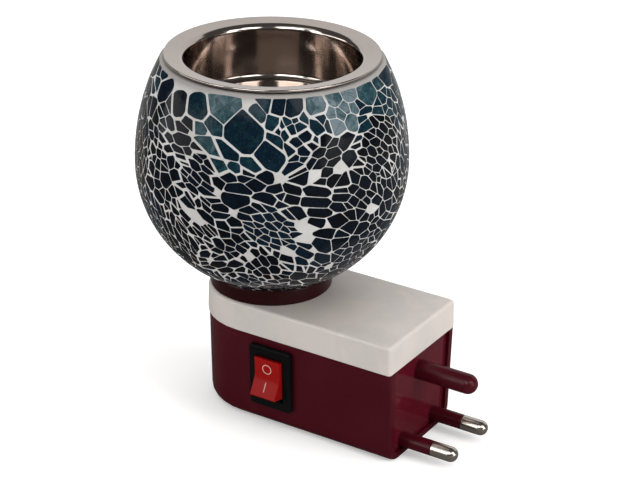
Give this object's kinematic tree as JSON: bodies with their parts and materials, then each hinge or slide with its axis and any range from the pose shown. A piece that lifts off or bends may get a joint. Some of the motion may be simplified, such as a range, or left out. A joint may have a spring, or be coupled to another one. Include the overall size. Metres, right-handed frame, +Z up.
{
  "type": "plug-in electric camphor burner",
  "caption": "Mosaic glass globe with a steel camphor cup on a small plug-in box with rocker switch, cover, plug pins and a bulb inside.",
  "frame": {"origin": "on the underside of the box, straight below the globe's axis", "axes": "+X the way the plug pins point, -Y out of the side with the rocker switch, +Z up along the globe's axis"},
  "size_m": [0.1164, 0.0843, 0.1161],
  "materials": {
    "maroon_plastic": "glossy moulded, deep maroon",
    "marble_plastic": "satin, white marble look with faint veins",
    "mosaic_glass": "dark blue, teal and grey glass shards in off-white grout",
    "clear_glass": "clear",
    "polished_steel": "polished spun stainless steel",
    "nickel_brass": "bright nickel plate",
    "bare_brass": "pressed brass",
    "screw_steel": "zinc plated",
    "black_plastic": "semi-gloss black",
    "red_plastic": "glossy red",
    "white_porcelain": "glazed",
    "white_plastic": "matt",
    "silicone": "soft clear-white",
    "brown_wire": "PVC insulation",
    "blue_wire": "PVC insulation"
  },
  "bodies": {
    "base": {"housing": "maroon_plastic", "top_cover": "marble_plastic", "cover_screw_1": "screw_steel", "cover_screw_2": "screw_steel", "pin_plate": "maroon_plastic", "live_pin": "nickel_brass", "neutral_pin": "nickel_brass", "globe_collar": "maroon_plastic", "collar_screw_1": "screw_steel", "collar_screw_2": "screw_steel", "collar_screw_3": "screw_steel", "globe_gasket": "silicone", "glass_bowl": "clear_glass", "mosaic_skin": "mosaic_glass", "lamp_holder": "white_porcelain", "holder_shell": "bare_brass", "holder_contact": "bare_brass", "switch_body": "black_plastic", "terminal_centre": "bare_brass", "terminal_end": "bare_brass", "wire_live": "brown_wire", "wire_switched": "brown_wire", "wire_neutral": "blue_wire"},
    "rocker_button": {"rocker": "red_plastic", "rocker_plunger": "white_plastic"},
    "switch_lever": {"contact_lever": "bare_brass"},
    "cup": {"camphor_cup": "polished_steel"},
    "bulb": {"bulb_cap": "nickel_brass", "bulb_glass": "clear_glass", "bulb_stem": "clear_glass"}
  },
  "joints": [
    {"name": "rocker_tilt", "type": "hinge", "parent": "base", "child": "rocker_button", "pos_m": [0.013, -0.0181, 0.01784], "axis": [1, 0, 0], "range_deg": [0, 28]},
    {"name": "lever_rock", "type": "hinge", "parent": "base", "child": "switch_lever", "pos_m": [0.013, -0.01051, 0.01816], "axis": [1, 0, 0], "range_deg": [-16, 0]},
    {"name": "cup_lift", "type": "slide", "parent": "base", "child": "cup", "axis": [0, 0, 1], "range_m": [0, 0.04]},
    {"name": "bulb_unscrew", "type": "slide", "parent": "base", "child": "bulb", "axis": [0, 0, 1], "range_m": [0, 0.01]}
  ],
  "couplings": [
    {"joint": "lever_rock", "follows": "rocker_tilt", "ratio": -0.57143}
  ]
}
